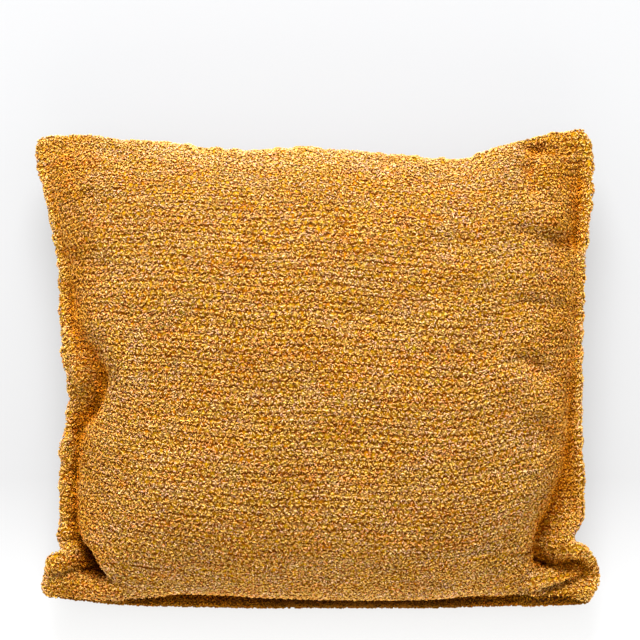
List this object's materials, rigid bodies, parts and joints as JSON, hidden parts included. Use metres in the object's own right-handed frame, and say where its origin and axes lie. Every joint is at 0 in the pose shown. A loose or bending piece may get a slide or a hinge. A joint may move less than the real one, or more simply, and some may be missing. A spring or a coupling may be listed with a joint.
{
  "type": "cushion cover",
  "caption": "Filled square scatter cushion in a chunky loop-yarn woven cover, lying on its back, with raised side seams, a crowned face and pinched lower corners.",
  "frame": {"origin": "under the middle of the cushion's outline box, on the plane that its back rests on", "axes": "+Z out of the face, +Y up the face from the pinched corners to the plain ones, +X across the face"},
  "size_m": [0.505, 0.431, 0.1484],
  "materials": {
    "cover_cloth": "matt chunky loop-yarn weave, mustard melange with grey, lilac and cream flecks"
  },
  "bodies": {
    "root": {"cushion_cover": "cover_cloth"}
  },
  "joints": []
}
